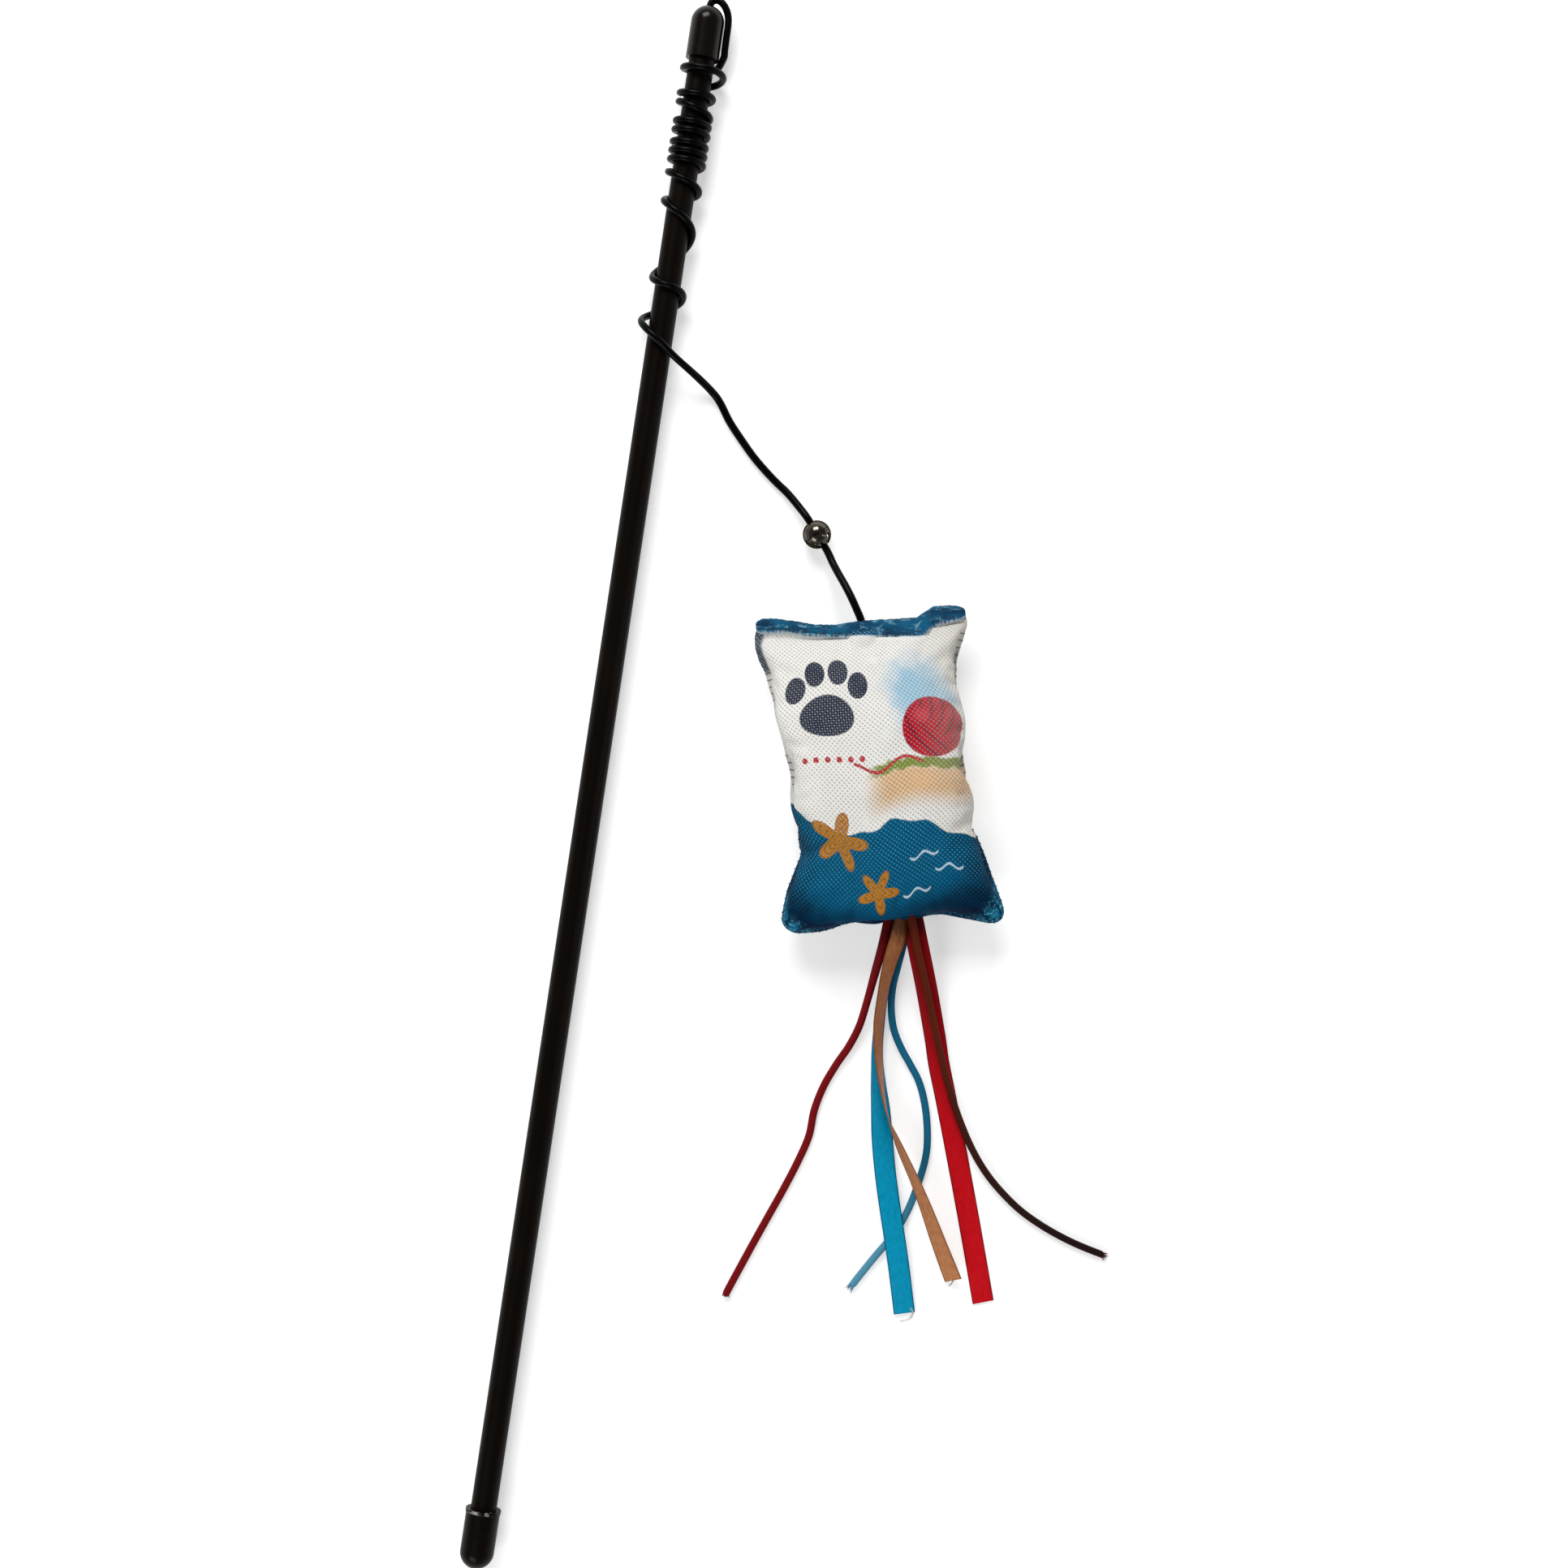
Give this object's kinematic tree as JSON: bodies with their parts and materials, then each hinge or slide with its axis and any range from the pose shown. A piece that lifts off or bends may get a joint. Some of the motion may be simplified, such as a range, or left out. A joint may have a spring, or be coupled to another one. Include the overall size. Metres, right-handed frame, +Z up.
{
  "type": "cat teaser wand",
  "caption": "Black capped rod with an elastic cord wound at its tip, leading over a small ball bell to a stuffed cloth toy with ribbon and lace streamers.",
  "frame": {"origin": "on the rod's axis, where the handle cap's rolled lip meets its straight wall", "axes": "+Y along the rod from handle to tip, +Z up from the surface that the wand lies on, +X towards the toy"},
  "size_m": [0.185, 0.4902, 0.026],
  "materials": {
    "rod_plastic": "satin black plastic, fine lengthwise die lines",
    "cap_vinyl": "dipped soft vinyl, semi-gloss",
    "elastic": "smooth glossy elastic",
    "bell_metal": "polished nickel, slightly smoked",
    "pellet_metal": "dull steel",
    "toy_print": "printed coarse woven polyester",
    "filling": "loose fibre",
    "thread": "sewing thread",
    "sewn_ends": "ribbon and lace ends pressed together",
    "satin_red": "satin ribbon with woven edges",
    "satin_blue": "satin ribbon with woven edges",
    "satin_tan": "satin ribbon with woven edges",
    "lace_red": "soft round lace",
    "lace_teal": "soft round lace",
    "lace_brown": "soft round lace"
  },
  "bodies": {
    "wand": {"rod": "rod_plastic", "handle_cap": "cap_vinyl", "tip_cap": "cap_vinyl", "anchor_knot": "elastic", "cord_tip_loop": "elastic", "cord_winding": "elastic"},
    "lead": {"cord_lead": "elastic"},
    "bell": {"bell_upper_shell": "bell_metal", "bell_lower_shell": "bell_metal"},
    "pellet": {"bell_pellet": "pellet_metal"},
    "toy": {"toy_front_panel": "toy_print", "toy_back_panel": "toy_print", "toy_stuffing": "filling", "closing_thread": "thread", "cord_end_knot": "elastic", "streamer_roots": "sewn_ends"},
    "red_ribbon": {"ribbon_red": "satin_red"},
    "blue_ribbon": {"ribbon_blue": "satin_blue"},
    "tan_ribbon": {"ribbon_tan": "satin_tan"},
    "red_lace": {"lace_red": "lace_red"},
    "teal_lace": {"lace_teal": "lace_teal"},
    "brown_lace": {"lace_brown": "lace_brown"}
  },
  "joints": [
    {"name": "lead_swing", "type": "hinge", "parent": "wand", "child": "lead", "pos_m": [0.00436, 0.36108, 0.00477], "axis": [0, 0, 1], "range_deg": [-4, 60]},
    {"name": "bell_spin", "type": "hinge", "parent": "lead", "child": "bell", "pos_m": [0.0568, 0.3134, -0.0017], "axis": [0.6797, -0.7335, 0], "continuous": true},
    {"name": "pellet_rattle", "type": "slide", "parent": "bell", "child": "pellet", "axis": [0.6797, -0.7335, 0], "range_m": [-0.0007, 0.0007]},
    {"name": "toy_swing", "type": "hinge", "parent": "lead", "child": "toy", "pos_m": [0.0734, 0.2913, 0.0059], "axis": [0, 0, 1], "range_deg": [-5, 40]},
    {"name": "red_ribbon_fan", "type": "hinge", "parent": "toy", "child": "red_ribbon", "pos_m": [0.10429, 0.20092, 0.0053], "axis": [0, 0, 1], "range_deg": [-2, 3]},
    {"name": "blue_ribbon_fan", "type": "hinge", "parent": "toy", "child": "blue_ribbon", "pos_m": [0.09909, 0.19942, 0.0055], "axis": [0, 0, 1], "range_deg": [-2, 2]},
    {"name": "tan_ribbon_fan", "type": "hinge", "parent": "toy", "child": "tan_ribbon", "pos_m": [0.09909, 0.19892, 0.0075], "axis": [0, 0, 1], "range_deg": [-2, 2]},
    {"name": "red_lace_fan", "type": "hinge", "parent": "toy", "child": "red_lace", "pos_m": [0.09479, 0.19812, 0.0059], "axis": [0, 0, 1], "range_deg": [-4, 1]},
    {"name": "teal_lace_fan", "type": "hinge", "parent": "toy", "child": "teal_lace", "pos_m": [0.10129, 0.19962, 0.0033], "axis": [0, 0, 1], "range_deg": [-2, 1]},
    {"name": "brown_lace_fan", "type": "hinge", "parent": "toy", "child": "brown_lace", "pos_m": [0.10309, 0.20012, 0.007], "axis": [0, 0, 1], "range_deg": [-1, 20]}
  ]
}
